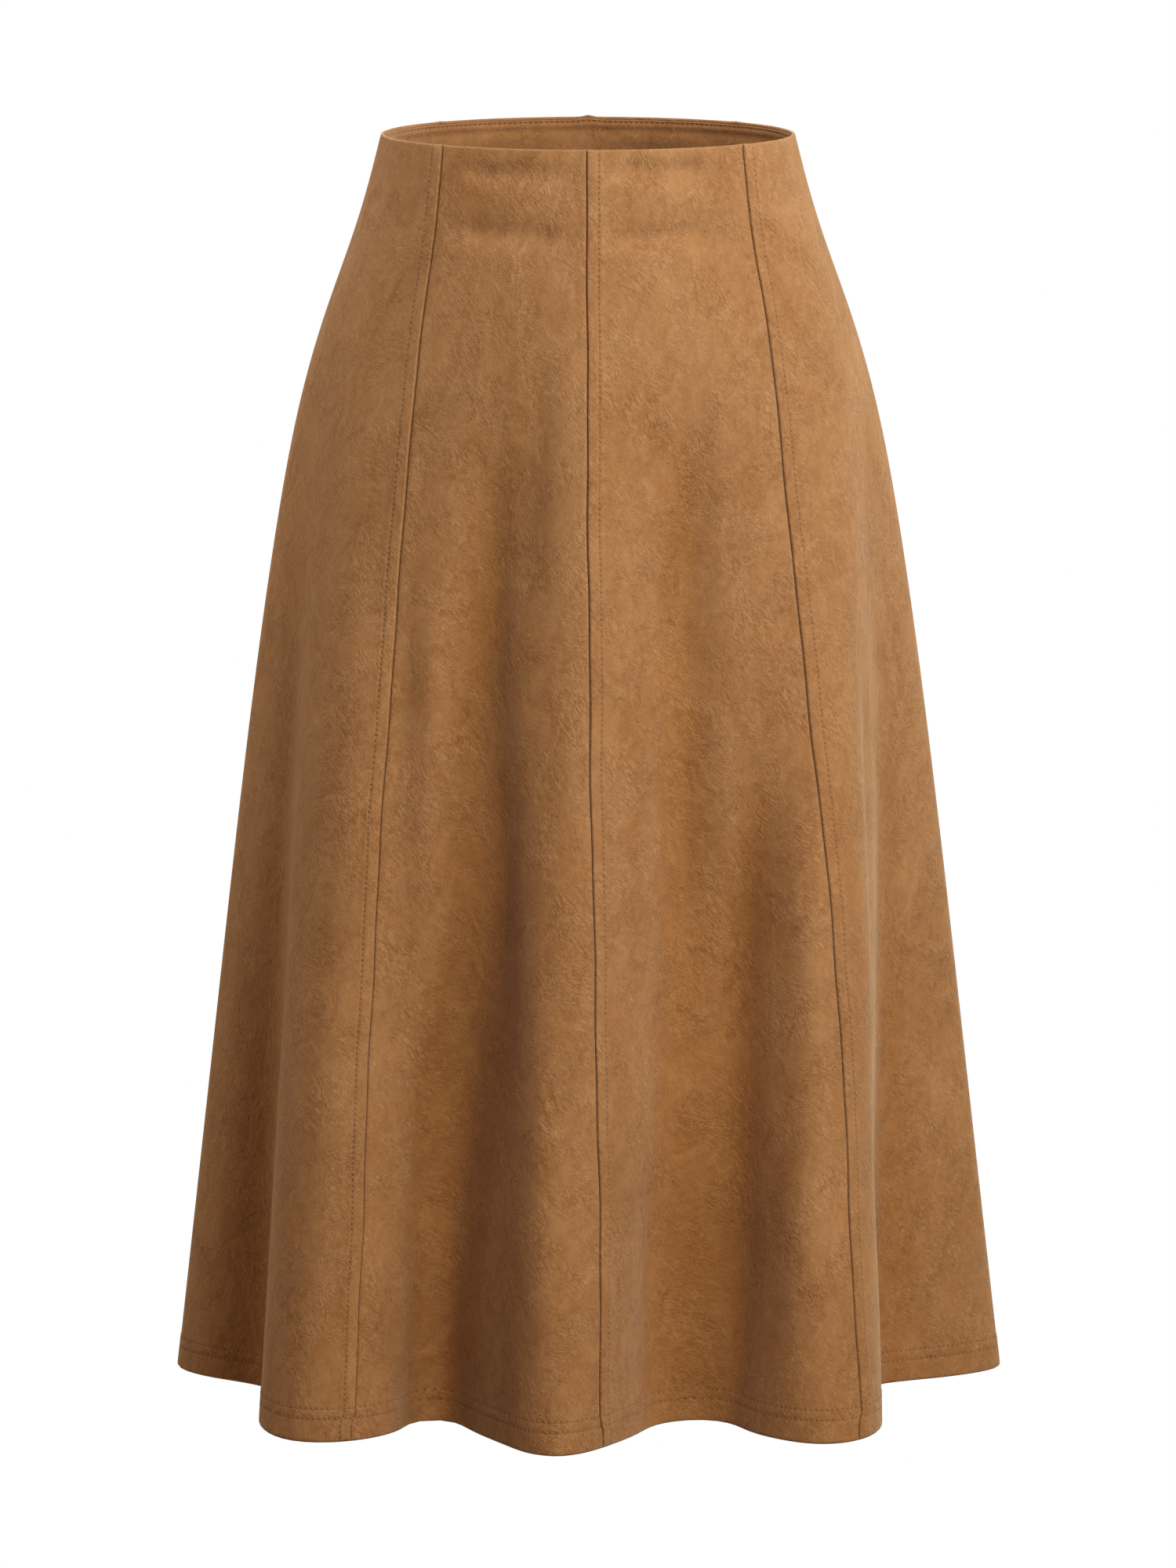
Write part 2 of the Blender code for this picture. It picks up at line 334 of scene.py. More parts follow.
class Curve:
    """A natural cubic spline, closed into a ring where a turn is given."""

    def __init__(self, knots, values, turn=None):
        self.turn = turn
        self.first = knots[0]
        if turn is not None:
            knots = np.concatenate([knots - turn, knots, knots + turn])
            values = np.tile(values, 3)
        self.knots = knots
        self.values = values
        steps = np.diff(knots)
        slopes = np.diff(values) / steps
        matrix = np.diag(np.concatenate([[1.0], 2.0 * (steps[:-1] + steps[1:]), [1.0]]))
        matrix += np.diag(np.concatenate([steps[:-1], [0.0]]), -1)
        matrix += np.diag(np.concatenate([[0.0], steps[1:]]), 1)
        self.bends = np.linalg.solve(matrix, np.concatenate([[0.0], 6.0 * np.diff(slopes), [0.0]]))

    def __call__(self, at):
        if self.turn is not None:
            at = self.first + (at - self.first) % self.turn
        low = np.clip(np.searchsorted(self.knots, at, side="right") - 1, 0, len(self.knots) - 2)
        step = self.knots[low + 1] - self.knots[low]
        before = (self.knots[low + 1] - at) / step
        after = (at - self.knots[low]) / step
        bend = (before**3 - before) * self.bends[low] + (after**3 - after) * self.bends[low + 1]
        return before * self.values[low] + after * self.values[low + 1] + bend * step * step / 6.0


half_width_at = Curve(column(SECTIONS, 0), column(SECTIONS, 1))
half_depth_at = Curve(column(SECTIONS, 0), column(SECTIONS, 2))
hem_x_at = Curve(column(FOLDS, 1), column(FOLDS, 2) / HALF_WIDTH_AT_HEM, TURN)
hem_y_at = Curve(column(FOLDS, 1), column(FOLDS, 3) / HALF_DEPTH_AT_HEM, TURN)
start_at = Curve(column(FOLDS, 1), column(FOLDS, 4), TURN)
seam_at = [Curve(np.array(SEAM_LEVELS), np.array(row[1:])) for row in SEAMS]


def smooth(low, high, value):
    """0 below low, 1 above high, and a smooth step between."""
    share = np.clip((value - low) / (high - low), 0.0, 1.0)
    return share * share * (3.0 - 2.0 * share)


def bell(value, width, middle=0.0):
    """1 at the middle, falling off smoothly each way."""
    return np.exp(-(((value - middle) / width) ** 2))


# ---------------------------------------------------------------- the cloth's outer face
def drape(angle, level):
    """The frame's surface: angle in degrees round the waist, level 0 at the waist to 1 at the hem."""
    depth = level * LENGTH
    across, along = np.cos(np.radians(angle)), np.sin(np.radians(angle))
    start = start_at(angle)
    folded = np.clip((level - start) / (1.0 - start), 0.0, 1.0) ** FOLD_GROWTH
    x = half_width_at(depth) * (across + folded * (hem_x_at(angle) - across))
    y = half_depth_at(depth) * (along + folded * (hem_y_at(angle) - along))
    z = WAIST_DIP * along * (1.0 - level) - depth
    return np.stack([x, y, z], axis=-1)


def outward(angle, level):
    """Unit normals of the frame's surface."""
    step, turn = 5e-5, 0.05
    inside = np.clip(level, step, 1.0 - step)
    round_about = drape(angle + turn, inside) - drape(angle - turn, inside)
    downward = drape(angle, inside + step) - drape(angle, inside - step)
    normal = np.cross(downward, round_about)
    return normal / np.linalg.norm(normal, axis=-1, keepdims=True)


def creased(angle, level):
    """How far the soft creases lift the cloth, in metres."""
    lift = np.zeros_like(angle)
    for first_angle, first_down, last_angle, last_down, height, half_width in CREASES:
        middle = (first_down + last_down) / 2.0 * MM
        per_degree = math.radians(1.0) * float(half_width_at(np.array(middle))) * RING_SHARE
        run_x = (last_angle - first_angle) * per_degree
        run_y = (last_down - first_down) * MM
        length = math.hypot(run_x, run_y)
        near = (angle - first_angle + TURN / 2.0) % TURN - TURN / 2.0
        dx = near * per_degree
        dy = level * LENGTH - first_down * MM
        along = (dx * run_x + dy * run_y) / length
        aside = (dx * run_y - dy * run_x) / length
        wander = CREASE_WANDER * half_width * MM * np.sin(along / WANDER_WAVE + first_angle)
        fade = smooth(0.0, CREASE_FADE * length, along) * smooth(0.0, CREASE_FADE * length, length - along)
        swell = 1.0 + CREASE_SWELL * np.sin(along / SWELL_WAVE + first_down)
        lift += height * MM * fade * swell * bell(aside, half_width * MM, wander)
    return lift


def cloth_face(angle, level):
    """Places on the creased surface, before any relief beside the seams, and the unit normals there."""
    normal = outward(angle, level)
    return drape(angle, level) + normal * creased(angle, level)[..., None], normal


# ---------------------------------------------------------------- relief beside the seams
def groove_roll(away):
    """How far the cloth rolls down into the seam, away being the distance from it in millimetres."""
    share = np.clip(1.0 - away / GROOVE_ROLL, 0.0, 1.0)
    return GROOVE_DEPTH * share**2.2


def stitched_side(away, down):
    """Relief of the side with the pressed allowances and the row of stitches, in millimetres."""
    ridge = RIDGE_HEIGHT * smooth(RIDGE_WIDTH + 1.5, RIDGE_WIDTH - 2.5, away)
    pulled = 1.0 + 0.25 * np.sin(down / 5.3) + 0.2 * np.sin(down / 11.7 + 1.3)
    dent = STITCH_DENT * pulled * bell(away, STITCH_DENT_WIDTH, STITCH_LINE)
    pillow = 0.12 * np.sin(down / 6.1 + 0.7) * bell(away, 2.6, 4.0)
    return ridge - dent + pillow - groove_roll(away)


def plain_side(away, down):
    """The other side: it only rolls in, with a little puff beside the groove."""
    puff = (0.18 + 0.06 * np.sin(down / 13.0)) * bell(away, 2.0, 2.6)
    return puff - groove_roll(away)


def hem_relief(above_hem):
    """The rows of stitches press the doubled hem in, and the hem stands out a little below them."""
    relief = HEM_STAND * smooth(HEM_ROWS[1] + 3.0, HEM_ROWS[1] - 1.0, above_hem)
    for row in HEM_ROWS:
        relief = relief - HEM_DENT * bell(above_hem, 0.9, row)
    return relief


def seam_relief(number, away, side, down):
    """side is -1 for the cloth on the seam's smaller angles and 1 for that on its larger ones."""
    if TOPSTITCHED[number] == side:
        return stitched_side(away, down)
    return plain_side(away, down)


# ---------------------------------------------------------------- rings cut into gores
def seam_angle(number, level):
    """The seam's angle, with the small kink that the turned-up hem gives it."""
    kink = 0.55 * smooth(1.0 - 18 * MM / LENGTH, 1.0 - 8 * MM / LENGTH, level)
    sway = 0.10 * np.sin(level * 31.0 + number) + 0.06 * np.sin(level * 67.0 + 2.0 * number)
    whole = number in (0, len(SEAMS) - 1)
    return seam_at[number](level) + (0.0 if whole else kink * (-1.0) ** number + sway)


def spans(number, level):
    """Arc lengths round the ring between a gore's seams, at even steps of angle, for each level."""
    left, right = seam_angle(number, level), seam_angle(number + 1, level)
    share = np.linspace(0.0, 1.0, ARC_SAMPLES)
    angle = left[:, None] + share[None, :] * (right - left)[:, None]
    ring = drape(angle, np.broadcast_to(level[:, None], angle.shape))
    steps = np.linalg.norm(np.diff(ring, axis=1), axis=-1)
    arc = np.concatenate([np.zeros((len(level), 1)), np.cumsum(steps, axis=1)], axis=1)
    return angle, arc


class Face:
    """A gore's outer face where it is asked for: a row of places for each level.

    Places are metres from the gore's left seam, or where they are below zero, from its right one.
    """

    def __init__(self, number, level, places):
        angle, arc = spans(number, level)
        self.width = arc[:, -1:]
        places = np.where(places < 0.0, self.width + places, places)
        self.angle = np.array([np.interp(at, a, g) for at, a, g in zip(places, arc, angle)])
        self.level = np.broadcast_to(level[:, None], self.angle.shape)
        self.down = self.level * LENGTH / MM
        self.up = LENGTH / MM - self.down
        self.left = places / MM
        self.right = (self.width - places) / MM
        self.base, self.normal = cloth_face(self.angle, self.level)
        self.base[..., 2] += seam_stand(number, self.left, self.right, self.down)

        relief = self.beside_seams(number, seam_relief) + hem_relief(self.up)
        relief = relief * smooth(0.0, 2.5, self.down) * smooth(0.0, 2.0, self.up)
        self.points = self.base + self.normal * (relief * MM)[..., None]
        self.allowance = self.beside_seams(number, inner_relief)

    def beside_seams(self, number, relief):
        """A kind of relief, measured on each half of the gore from the seam that is nearer."""
        at_left = relief(number, self.left, 1, self.down)
        at_right = relief(number + 1, self.right, -1, self.down)
        return np.where(self.left <= self.right, at_left, at_right)


def hollow(angle, level):
    """0 on the folds' crests and flats, up to 1 at the bottom of the deep hollows between them."""
    beside = (cloth_face(angle - HOLLOW_REACH, level)[0] + cloth_face(angle + HOLLOW_REACH, level)[0]) / 2.0
    here, normal = cloth_face(angle, level)
    below = ((beside - here) * normal).sum(axis=-1) / MM
    return smooth(-1.0, 9.0, below)


def seam_stand(number, left, right, down):
    """The seam allowances make the top edge stand a little higher over each seam, most at the centre back."""
    at_left = SEAM_STAND[number] * bell(left, SEAM_STAND_WIDTH)
    at_right = SEAM_STAND[number + 1] * bell(right, SEAM_STAND_WIDTH)
    return (at_left + at_right) * MM * smooth(9.0, 0.0, down)


def gore_places(number, level):
    """Distances of a gore's columns from its left seam: close together near both seams."""
    width = spans(number, level)[1][:, -1]
    edge = np.array(SEAM_COLUMNS) * MM
    share = np.linspace(0.0, 1.0, GORE_MIDDLE_COLUMNS + 2)[1:-1]
    middle = edge[-1] + (width[:, None] - 2.0 * edge[-1]) * share[None, :]
    left = np.broadcast_to(edge, (len(level), len(edge)))
    return np.concatenate([left, middle, width[:, None] - left[:, ::-1]], axis=1)


def gore_rows():
    """Levels of the rows, and how far in the two faces lie there: rounded at the waist and at the hem."""
    top_down = CAP_RADIUS * (1.0 - np.cos(ROUND))
    hem_up = CLOTH * (1.0 - np.cos(ROUND))[::-1]
    fine_hem = LENGTH - np.array(HEM_LINES) * MM
    body_top = top_down[-1] + 0.7 * MM
    count = int((fine_hem[0] - body_top) / ROW_STEP)
    body = np.linspace(body_top, fine_hem[0], count)[:-1]
    down = np.concatenate([top_down, body, fine_hem, LENGTH - hem_up])
    outer = np.zeros(len(down))
    outer[: len(ROUND)] = CAP_RADIUS * (1.0 - np.sin(ROUND))
    outer[-len(ROUND) :] = CLOTH * (1.0 - np.sin(ROUND))[::-1]
    wall = np.where(down > LENGTH - HEM_TURN_UP - 0.5 * MM, 2.0 * CLOTH, CLOTH)
    wall[: len(ROUND)] = 2.0 * CAP_RADIUS
    return down / LENGTH, outer, wall - outer


# ---------------------------------------------------------------- walls of cloth
def faces_of(rows, columns):
    """Faces of a closed wall of two grids, and the place of every corner on a square map for baking.

    The map holds the outer face, the inner face beside it, and a narrow strip for each rim.
    """
    count = rows * columns
    grid = np.arange(count).reshape(rows, columns)
    a, b, c, d = grid[:-1, :-1], grid[:-1, 1:], grid[1:, 1:], grid[1:, :-1]
    outer_faces = np.stack([a, d, c, b], axis=-1).reshape(-1, 4)
    inner_faces = np.stack([a, b, c, d], axis=-1).reshape(-1, 4) + count
    faces = [outer_faces, inner_faces]
    u, v = np.meshgrid(np.linspace(0.0, 1.0, columns), np.linspace(1.0, 0.0, rows))
    flat = [np.stack([low + wide * u, 0.005 + 0.99 * v], axis=-1).reshape(-1, 2) for low, wide in BAKE_FACES]
    corners = np.concatenate(flat)
    places = [corners[quads] for quads in faces]
    rims = ((grid[0], 1), (grid[-1], -1), (grid[:, 0], -1), (grid[:, -1], 1))
    for number, (line, flip) in enumerate(rims):
        near, far = line[:-1], line[1:]
        quads = np.stack([near, far, far + count, near + count], axis=-1)
        low = BAKE_RIMS + number * 2.0 * BAKE_RIM
        along = np.linspace(0.005, 0.995, len(line))
        edge = np.full(len(near), low)
        far_edge = edge + BAKE_RIM
        strip = [(edge, along[:-1]), (edge, along[1:]), (far_edge, along[1:]), (far_edge, along[:-1])]
        faces.append(quads[:, ::flip])
        places.append(np.stack([np.stack(pair, axis=-1) for pair in strip], axis=1)[:, ::flip])
    return np.concatenate(faces), np.concatenate(places).reshape(-1, 2)


def placed(name, data):
    """A new object for a mesh, camera or lamp, linked into the scene."""
    thing = bpy.data.objects.new(name, data)
    bpy.context.scene.collection.objects.link(thing)
    return thing


def closed_shell(name, outer, inner, uv, values, material):
    """A closed wall from two grids of points (rows, columns, 3) that meet at all four edges.

    values are named grids of one number for each point, which both faces take.
    """
    count = outer.shape[0] * outer.shape[1]
    faces, baked = faces_of(*outer.shape[:2])
    mesh = bpy.data.meshes.new(name)
    points = np.concatenate([outer.reshape(-1, 3), inner.reshape(-1, 3)])
    mesh.from_pydata(points.tolist(), [], faces.tolist())
    both = np.tile(uv.reshape(-1, 2), (2, 1))[faces.ravel()]
    for label, corners in (("Cloth", both), ("OFBake", baked)):
        layer = mesh.uv_layers.new(name=label)
        layer.uv.foreach_set("vector", corners.astype(np.float32).ravel())
    for label, numbers in values.items():
        layer = mesh.attributes.new(label, "FLOAT", "POINT")
        layer.data.foreach_set("value", np.tile(numbers.reshape(-1), 2).astype(np.float32))
    inside = mesh.attributes.new("inside", "FLOAT", "POINT")
    inside.data.foreach_set("value", np.repeat([0.0, 1.0], count).astype(np.float32))
    mesh.shade_smooth()
    mesh.set_sharp_from_angle(angle=math.radians(70.0))
    mesh.materials.append(material)
    return placed(name, mesh)


def inner_relief(number, away, side, down):
    """How far the pressed seam allowances stand out on the inside, in millimetres."""
    if TOPSTITCHED[number] == side:
        layers = 1.5
    elif TOPSTITCHED[number] == 0:
        layers = 0.8
    else:
        return np.zeros_like(away)
    below_facing = smooth(FACING_DEPTH / MM + 2.0, FACING_DEPTH / MM + 5.0, down)
    in_hem = 1.0 - 0.6 * smooth(LENGTH / MM - 23.0, LENGTH / MM - 20.0, down)
    at_foot = smooth(LENGTH / MM - 1.0, LENGTH / MM - 6.0, down)
    return layers * smooth(*ALLOWANCE_EDGE, away) * smooth(0.0, 0.6, away) * below_facing * in_hem * at_foot


def stitches_so_far(path):
    """How far along a path each of its points is, in stitches."""
    steps = np.linalg.norm(np.diff(path, axis=0), axis=-1)
    return np.concatenate([[0.0], np.cumsum(steps)]) / (STITCH_PITCH * MM)


def stitch_line(number):
    """The cloth along the row of stitches beside a seam, and the stitches so far at each place."""
    side = TOPSTITCHED[number]
    level = np.linspace(0.0, 1.0, SEAM_SAMPLES)
    gore = number if side > 0 else number - 1
    line = Face(gore, level, np.full((len(level), 1), side * STITCH_LINE * MM))
    return line, stitches_so_far(line.base[:, 0])


def gore_shell(number, material):
    """One gore with its grooves, ridges, creases and rounded edges."""
    level, outer_in, inner_in = gore_rows()
    face = Face(number, level, gore_places(number, level))
    outer = face.points - face.normal * outer_in[:, None, None]
    inner = face.base - face.normal * (inner_in[:, None] + face.allowance * MM)[..., None]

    along = (face.left * MM) - face.width / 2.0
    uv = np.stack([along + GORE_CUT * number, -face.level * LENGTH], axis=-1)
    away = np.minimum(face.left, face.right)
    seam_line = np.zeros_like(away)
    phase = np.zeros_like(away)
    for seam, side, distance in ((number, 1, face.left), (number + 1, -1, face.right)):
        if TOPSTITCHED[seam] == side:
            seam_line = bell(distance, 0.55, STITCH_LINE)
            line, so_far = stitch_line(seam)
            phase = np.interp(face.level, line.level[:, 0], so_far)
    foot_shadow = np.where(face.left <= face.right, FOOT_SHADOW[number], FOOT_SHADOW[number + 1])
    hem_line = sum(bell(face.up, 0.5, row) for row in HEM_ROWS)
    values = {
        # painted shade along each seam's groove, weaker towards the hem
        "groove": bell(away, 0.40) * (1.0 - (1.0 - foot_shadow) * face.level),
        "seam_line": seam_line,
        "seam_phase": phase,
        "hem_line": hem_line,
        "hem_phase": face.left / STITCH_PITCH,
        # paler cloth within a few millimetres of the hem and top edges
        "rubbed": np.maximum(smooth(4.0, 0.0, face.up), smooth(2.6, 0.4, face.down)),
        # painted shade: most at the bottom of the fold hollows, and more towards the hem
        "deepened": np.clip(0.7 * hollow(face.angle, face.level) + 0.5 * (face.level - 0.2), 0.0, 1.0),
    }
    return closed_shell(GORES[number] + "_cloth", outer, inner, uv, values, material)


def facing_relief(down):
    """The facing swells below its understitching and has a soft trough where the cloth turns over."""
    dent = -0.45 * bell(down, 0.7, UNDERSTITCH)
    trough = -0.8 * bell(down, 2.4, 8.2)
    swell = 0.35 * bell(down, 1.4, 5.0)
    return dent + trough + swell


def facing_angles(index, level, columns):
    """Angles round the ring at even steps, a little short of the side seams, for each level."""
    first = index * GORES_PER_FACING
    left, right = seam_angle(first, level), seam_angle(first + GORES_PER_FACING, level)
    share = np.linspace(0.0, 1.0, columns)
    angle = left[:, None] + share[None, :] * (right - left)[:, None]
    half_gap = SEAM_GAP / 2.0 / (FACING_RADIUS * math.radians(1.0))
    angle[:, 0] += half_gap
    angle[:, -1] -= half_gap
    return angle


def facing_face(angle, level):
    """The cloth's face that a facing hangs behind, the facing's own inner face, and the outward normals."""
    levels = np.broadcast_to(level[:, None], angle.shape)
    down = levels * LENGTH / MM
    base, normal = cloth_face(angle, levels)
    near_back = (angle - CENTRE_BACK_ANGLE) * math.radians(1.0) * BACK_RADIUS
    bump = SEAM_STAND[CENTRE_BACK] * bell(near_back, SEAM_STAND_WIDTH) * smooth(11.0, 1.0, down)
    base[..., 2] += bump * MM
    relief = facing_relief(down) + 0.5 * bump
    inner = base - normal * (CLOTH + SEAM_GAP + FACING_CLOTH + relief * MM)[..., None]
    return base, inner, normal


def facing_shell(index, material):
    """A band inside the top edge, just clear of the gores that it backs."""
    round_in = 0.5 * FACING_CLOTH * (1.0 - np.sin(ROUND))
    round_down = 0.5 * FACING_CLOTH * (1.0 - np.cos(ROUND))
    middle = np.array(FACING_LINES) * MM
    down = np.concatenate([FACING_TOP + round_down, middle, FACING_DEPTH - round_down[::-1]])
    taper = np.concatenate([round_in, np.zeros(len(middle)), round_in[::-1]])
    level = down / LENGTH
    angle = facing_angles(index, level, FACING_COLUMNS)
    base, inner, normal = facing_face(angle, level)
    outer = base - normal * (CLOTH + SEAM_GAP + taper)[:, None, None]
    inner = inner + normal * taper[:, None, None]
    levels = np.broadcast_to(level[:, None], angle.shape)
    down = levels * LENGTH / MM
    arc = (angle - angle[:, :1]) * math.radians(1.0) * WAIST_RADIUS
    uv = np.stack([arc + FACING_CUT + index, -levels * LENGTH], axis=-1)
    line_angle, so_far = understitch_line(index)[2:]
    values = {
        "hem_line": bell(down, 0.55, UNDERSTITCH),
        "hem_phase": np.interp(angle, line_angle, so_far),
        # paler cloth just below the facing's top edge
        "rubbed": smooth(2.6, 1.4, down),
    }
    return closed_shell(FACINGS[index] + "_cloth", outer, inner, uv, values, material)


def understitch_line(index):
    """Points, inward normals, angles and stitches so far along the row of stitches on a facing."""
    level = np.array([UNDERSTITCH * MM / LENGTH])
    angle = facing_angles(index, level, FACING_SAMPLES)
    inner, normal = facing_face(angle, level)[1:]
    return inner[0], -normal[0], angle[0], stitches_so_far(inner[0])


# ---------------------------------------------------------------- stitches
def stitch_form():
    """Corners of one stitch along X, standing up along Z, and its faces. A triangle repeats a corner."""
    sides = 6
    along = np.array([-0.5, -0.36, -0.12, 0.12, 0.36, 0.5])
    rise = np.array([-0.42, 0.0, 0.16, 0.16, 0.0, -0.42])
    girth = np.array([0.0, 0.8, 1.0, 1.0, 0.8, 0.0])
    turn = np.arange(sides) * 2.0 * math.pi / sides
    shape = [(along[0], 0.0, rise[0])]
    for at, height, size in zip(along[1:-1], rise[1:-1], girth[1:-1]):
        for angle in turn:
            shape.append((at, 0.5 * size * math.cos(angle), height + 0.42 * size * math.sin(angle)))
    shape.append((along[-1], 0.0, rise[-1]))
    shape = np.array(shape) * (STITCH_LENGTH, STITCH_WIDTH, STITCH_WIDTH) * MM
    last = len(shape) - 1
    loops = []
    for side in range(sides):
        after = (side + 1) % sides
        loops.append((0, 1 + after, 1 + side, 1 + side))
        for ring in range(3):
            low, high = 1 + ring * sides, 1 + (ring + 1) * sides
            loops.append((low + side, low + after, high + after, high + side))
        loops.append((1 + 3 * sides + side, 1 + 3 * sides + after, last, last))
    return shape, np.array(loops)


def stitches(name, rows, material):
    """All the stitches of some rows as one mesh. A row is points, normals and the stitches so far at each."""
    shape, loops = stitch_form()
    points, faces = [], []
    for number, (path, normals, so_far) in enumerate(rows):
        middle = np.arange(math.ceil(so_far[0] + 0.1), math.floor(so_far[-1] - 0.1)) + 0.5
        jitter = 0.04 * np.sin(middle * 12.9898 + number * 4.1)

        def read(values, at):
            return np.stack([np.interp(at, so_far, values[:, axis]) for axis in range(3)], axis=-1)

        place = read(path, middle + jitter)
        run = read(path, middle + 0.3) - read(path, middle - 0.3)
        run /= np.linalg.norm(run, axis=-1, keepdims=True)
        up = read(normals, middle)
        aside = np.cross(up, run)
        aside /= np.linalg.norm(aside, axis=-1, keepdims=True)
        slant = 0.10 + 0.05 * np.sin(middle * 7.77 + number)
        run = run + aside * slant[:, None]
        run /= np.linalg.norm(run, axis=-1, keepdims=True)
        aside = np.cross(up, run)
        up = np.cross(run, aside)
        local = shape[None, :, 0:1] * run[:, None] + shape[None, :, 1:2] * aside[:, None]
        local = local + shape[None, :, 2:3] * up[:, None]
        start = sum(len(p) for p in points)
        points.append((place[:, None] + local).reshape(-1, 3))
        base = start + np.arange(len(middle)) * len(shape)
        faces.append((base[:, None, None] + loops[None]).reshape(-1, 4))
    points, faces = np.concatenate(points), np.concatenate(faces)
    corners = [tuple(dict.fromkeys(face)) for face in faces.tolist()]
    mesh = bpy.data.meshes.new(name)
    mesh.from_pydata(points.tolist(), [], corners)
    mesh.shade_smooth()
    mesh.materials.append(material)
    return placed(name, mesh)


def seam_row(number):
    """The row of stitches beside a seam."""
    line, so_far = stitch_line(number)
    level = line.level[:, 0]
    inside = (level > 1.2 * MM / LENGTH) & (level < 1.0 - 1.2 * MM / LENGTH)
    return line.points[inside, 0], line.normal[inside, 0], so_far[inside]


def hem_row(number, above, inner):
    """One row of stitches along a gore's hem, on its outer face or on its inner one."""
    level = np.array([1.0 - above * MM / LENGTH])
    width = spans(number, level)[1][0, -1]
    places = np.linspace(0.0, width, HEM_SAMPLES)[None, :]
    line = Face(number, level, places)
    so_far = places[0] / (STITCH_PITCH * MM)
    if inner:
        points = line.base - line.normal * (2.0 * CLOTH + line.allowance * MM)[..., None]
        return points[0], -line.normal[0], so_far
    return line.points[0], line.normal[0], so_far


# ---------------------------------------------------------------- materials
class Tree:
    """Short ways to add nodes to a material. Sizes are in millimetres on the piece's Cloth map."""

    def __init__(self, name):
        self.material = bpy.data.materials.new(name)
        self.material.use_nodes = True
        self.nodes = self.material.node_tree.nodes
        self.links = self.material.node_tree.links
        self.shader = self.nodes["Principled BSDF"]
        self.cloth = self.add("ShaderNodeUVMap", uv_map="Cloth").outputs["UV"]

    def add(self, kind, inputs=None, **settings):
        made = self.nodes.new(kind)
        for name, value in settings.items():
            setattr(made, name, value)
        for socket, value in (inputs or {}).items():
            self.put(made.inputs[socket], value)
        return made

    def put(self, socket, value):
        if isinstance(value, bpy.types.NodeSocket):
            self.links.new(value, socket)
        else:
            socket.default_value = value

    def math(self, operation, first, second=0.0, third=0.0):
        inputs = {0: first, 1: second, 2: third}
        return self.add("ShaderNodeMath", inputs, operation=operation).outputs["Value"]

    def noise(self, size, turn=0.0, detail=2.0, roughness=0.5, distortion=0.0, seed=0.0):
        """Noise from 0 to 1 whose cells are size[0] by size[1] millimetres, turned by so many degrees."""
        mapping = self.add(
            "ShaderNodeMapping",
            {
                "Vector": self.cloth,
                "Location": (seed, -seed, 0.0),
                "Rotation": (0.0, 0.0, math.radians(turn)),
                "Scale": (size[0] * MM, size[1] * MM, 1.0),
            },
            vector_type="TEXTURE",
        )
        inputs = {
            "Vector": mapping.outputs["Vector"],
            "Scale": 1.0,
            "Detail": detail,
            "Roughness": roughness,
            "Distortion": distortion,
        }
        return self.add("ShaderNodeTexNoise", inputs, noise_dimensions="2D").outputs["Fac"]

    def spread(self, value, low, high, to_low=0.0, to_high=1.0):
        inputs = {"Value": value, "From Min": low, "From Max": high, "To Min": to_low, "To Max": to_high}
        made = self.add("ShaderNodeMapRange", inputs, interpolation_type="SMOOTHSTEP")
        return made.outputs["Result"]

    def mix(self, share, first, second, blend="MIX"):
        made = self.add("ShaderNodeMix", data_type="RGBA", blend_type=blend)
        for socket, value in ((0, share), (6, first), (7, second)):
            self.put(made.inputs[socket], value)
        return made.outputs[2]

    def attribute(self, name):
        return self.add("ShaderNodeAttribute", attribute_name=name).outputs["Fac"]

    def bump(self, height, distance, strength=1.0, normal=None):
        inputs = {"Height": height, "Distance": distance * MM, "Strength": strength}
        if normal is not None:
            inputs["Normal"] = normal
        return self.add("ShaderNodeBump", inputs).outputs["Normal"]

    def needle_holes(self, line, phase):
        """1 in the holes between the stitches of a row, where the suede takes painted shade."""
        part = self.math("FRACT", self.attribute(phase))
        from_middle = self.math("ABSOLUTE", self.math("SUBTRACT", part, 0.5))
        hole = self.spread(from_middle, 0.30, 0.44)
        return self.math("MULTIPLY", hole, self.attribute(line))


